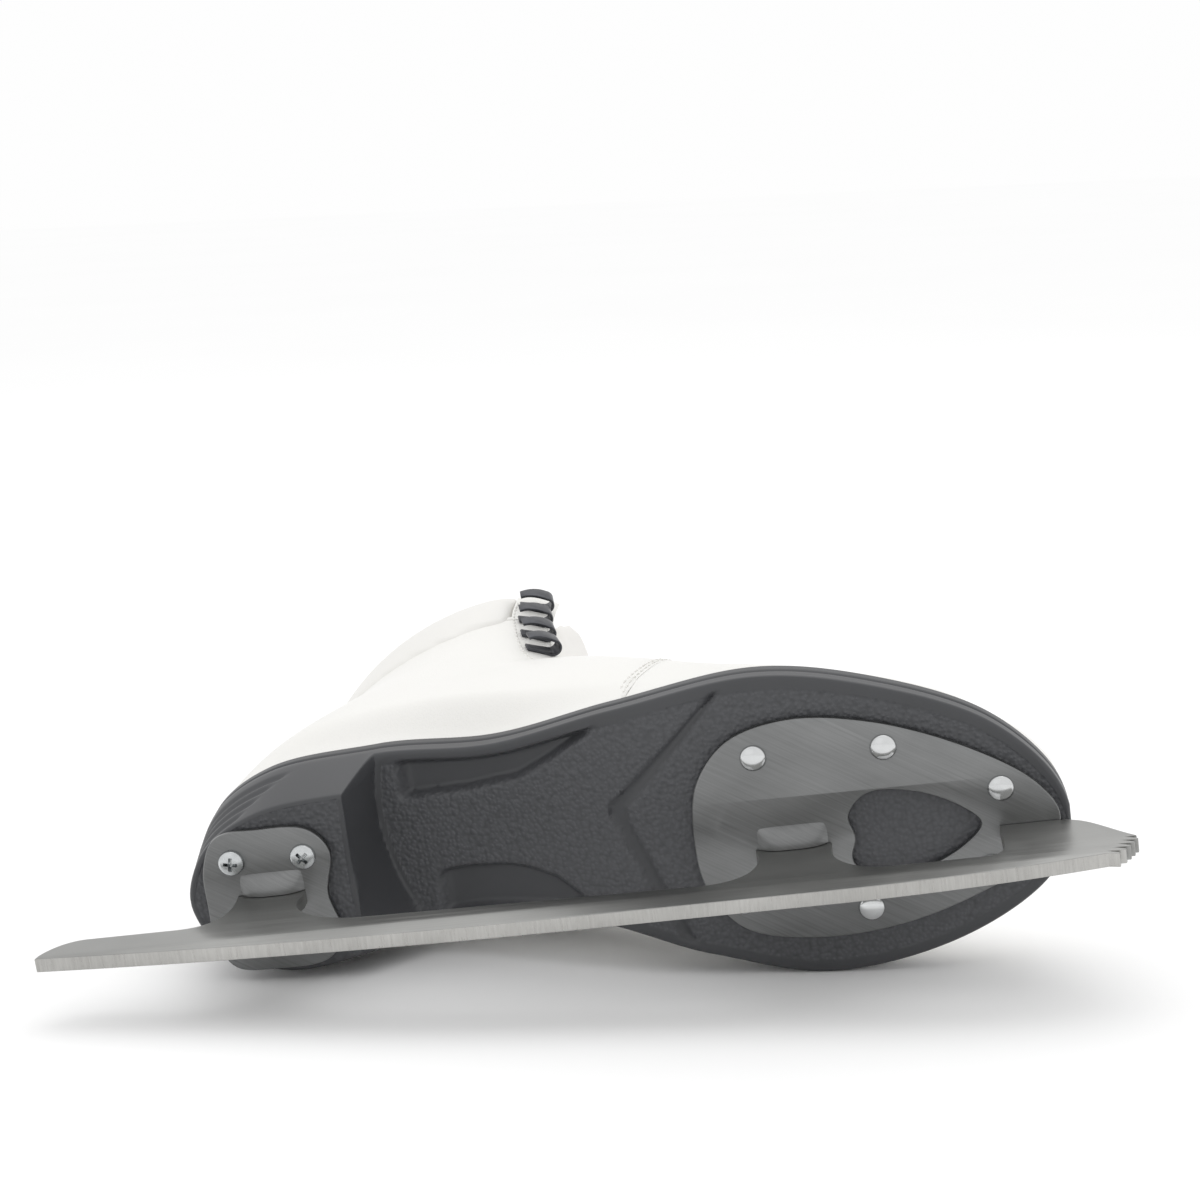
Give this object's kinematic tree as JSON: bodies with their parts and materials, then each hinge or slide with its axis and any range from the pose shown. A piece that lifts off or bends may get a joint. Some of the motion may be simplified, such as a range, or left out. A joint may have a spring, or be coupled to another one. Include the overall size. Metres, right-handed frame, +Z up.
{
  "type": "ice skate",
  "caption": "Right-foot figure skate lying on its inner side: white ankle boot with hinged padded tongue, moulded heeled outsole and riveted steel blade with toe picks.",
  "frame": {"origin": "centre of the skate's overall box, on the floor it lies on", "axes": "+X from heel to toe, +Y from the blade towards the collar, +Z up out of the outer side of the foot, with the skate lying on its inner side"},
  "size_m": [0.2956, 0.209, 0.088],
  "materials": {
    "moulded_outsole": "moulded, satin with pebbled fields",
    "fibre_board": "matt fibre board",
    "footbed_fabric": "brushed knit over foam",
    "blade_steel": "lengthwise brushed, ground edge",
    "plate_steel": "brushed pressed sheet",
    "upper_leather": "smooth white coated leather",
    "lining_fabric": "woven lining",
    "collar_leather": "padded soft white coated leather",
    "tongue_leather": "padded white coated leather",
    "zinc_screw": "bright zinc plate",
    "rivet_steel": "polished domed head",
    "hook_metal": "dark gun-metal coating",
    "eyelet_metal": "grey lacquered"
  },
  "bodies": {
    "boot_and_blade": {"backstay": "upper_leather", "blade": "blade_steel", "collar_pad": "collar_leather", "eyelet_inner_1": "eyelet_metal", "eyelet_inner_2": "eyelet_metal", "eyelet_inner_3": "eyelet_metal", "eyelet_inner_4": "eyelet_metal", "eyelet_inner_5": "eyelet_metal", "eyelet_outer_1": "eyelet_metal", "eyelet_outer_2": "eyelet_metal", "eyelet_outer_3": "eyelet_metal", "eyelet_outer_4": "eyelet_metal", "eyelet_outer_5": "eyelet_metal", "footbed": "footbed_fabric", "heel_plate": "plate_steel", "heel_screw_1": "zinc_screw", "heel_screw_2": "zinc_screw", "heel_screw_3": "zinc_screw", "heel_screw_4": "zinc_screw", "hook_inner_1": "hook_metal", "hook_inner_2": "hook_metal", "hook_inner_3": "hook_metal", "hook_inner_4": "hook_metal", "hook_outer_1": "hook_metal", "hook_outer_2": "hook_metal", "hook_outer_3": "hook_metal", "hook_outer_4": "hook_metal", "insole_board": "fibre_board", "lining": "lining_fabric", "outsole": "moulded_outsole", "quarter_inner": "upper_leather", "quarter_outer": "upper_leather", "sole_plate": "plate_steel", "sole_rivet_1": "rivet_steel", "sole_rivet_2": "rivet_steel", "sole_rivet_3": "rivet_steel", "sole_rivet_4": "rivet_steel", "sole_rivet_5": "rivet_steel", "sole_rivet_6": "rivet_steel", "tongue_lower": "tongue_leather", "vamp": "upper_leather"},
    "tongue": {"tongue_upper": "tongue_leather"}
  },
  "joints": [
    {"name": "tongue_fold", "type": "hinge", "parent": "boot_and_blade", "child": "tongue", "pos_m": [-0.00317, 0.03964, 0.04205], "axis": [0.0819, 0.1007, -0.9915], "range_deg": [-8, 60]}
  ]
}
